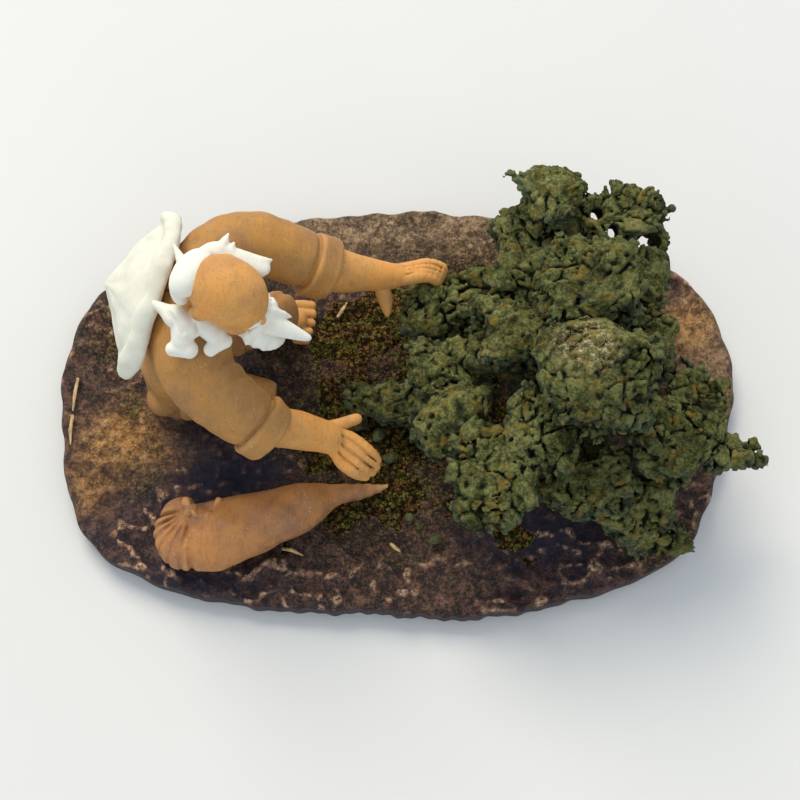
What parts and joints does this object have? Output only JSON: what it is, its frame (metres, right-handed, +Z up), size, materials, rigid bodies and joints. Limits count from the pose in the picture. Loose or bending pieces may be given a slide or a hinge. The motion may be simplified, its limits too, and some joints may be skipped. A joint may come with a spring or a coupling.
{
  "type": "clay tree of life scene",
  "caption": "Hand-modelled clay folk scene: a kneeling bearded gardener, hat on the back, reaches towards a bushy crumbled tree on an oval base with a tied sack.",
  "frame": {"origin": "centre of the base's flat underside, on the surface it stands on", "axes": "+Z up; +X along the base's long side, from the kneeling figure to the tree; +Y away from the side where the sack lies"},
  "size_m": [0.2247, 0.1424, 0.1077],
  "materials": {
    "terracotta": "matt unglazed",
    "white_clay": "matt, softly worn",
    "painted_base": "satin dark paint rubbed with copper brown",
    "moss_crumbs": "matt and granular",
    "leaf_clay": "matt and crumbly",
    "straw": "matt"
  },
  "bodies": {
    "root": {"base_slab": "painted_base", "beard": "white_clay", "crumbs": "leaf_clay", "eyebrows": "white_clay", "hair_back": "white_clay", "hair_left": "white_clay", "hair_right": "white_clay", "hat_brim": "white_clay", "hat_crown": "white_clay", "head": "terracotta", "leaves_back_left": "leaf_clay", "leaves_back_mid": "leaf_clay", "leaves_back_right": "leaf_clay", "leaves_centre_left": "leaf_clay", "leaves_core": "leaf_clay", "leaves_crown": "leaf_clay", "leaves_fringe": "leaf_clay", "leaves_front": "leaf_clay", "leaves_front_left": "leaf_clay", "leaves_front_mid": "leaf_clay", "leaves_front_right": "leaf_clay", "leaves_left": "leaf_clay", "leaves_left_back": "leaf_clay", "leaves_left_front": "leaf_clay", "leaves_left_tip": "leaf_clay", "leaves_right": "leaf_clay", "leaves_right_back": "leaf_clay", "leaves_right_front": "leaf_clay", "leaves_right_outer": "leaf_clay", "leaves_twig": "leaf_clay", "leaves_upper": "leaf_clay", "left_cuff": "terracotta", "left_foot": "terracotta", "left_forearm": "terracotta", "left_leg": "terracotta", "left_sleeve": "terracotta", "left_thumb": "terracotta", "limb_back": "leaf_clay", "limb_back_left": "leaf_clay", "limb_front": "leaf_clay", "limb_front_left": "leaf_clay", "limb_left": "leaf_clay", "limb_right": "leaf_clay", "moss_bed": "moss_crumbs", "moustache": "white_clay", "neck": "terracotta", "right_cuff": "terracotta", "right_foot": "terracotta", "right_forearm": "terracotta", "right_leg": "terracotta", "right_sleeve": "terracotta", "right_thumb": "terracotta", "sack_body": "terracotta", "sack_mouth": "terracotta", "sack_tie": "terracotta", "smock_skirt": "terracotta", "straws": "straw", "torso": "terracotta", "trunk": "leaf_clay"}
  },
  "joints": []
}
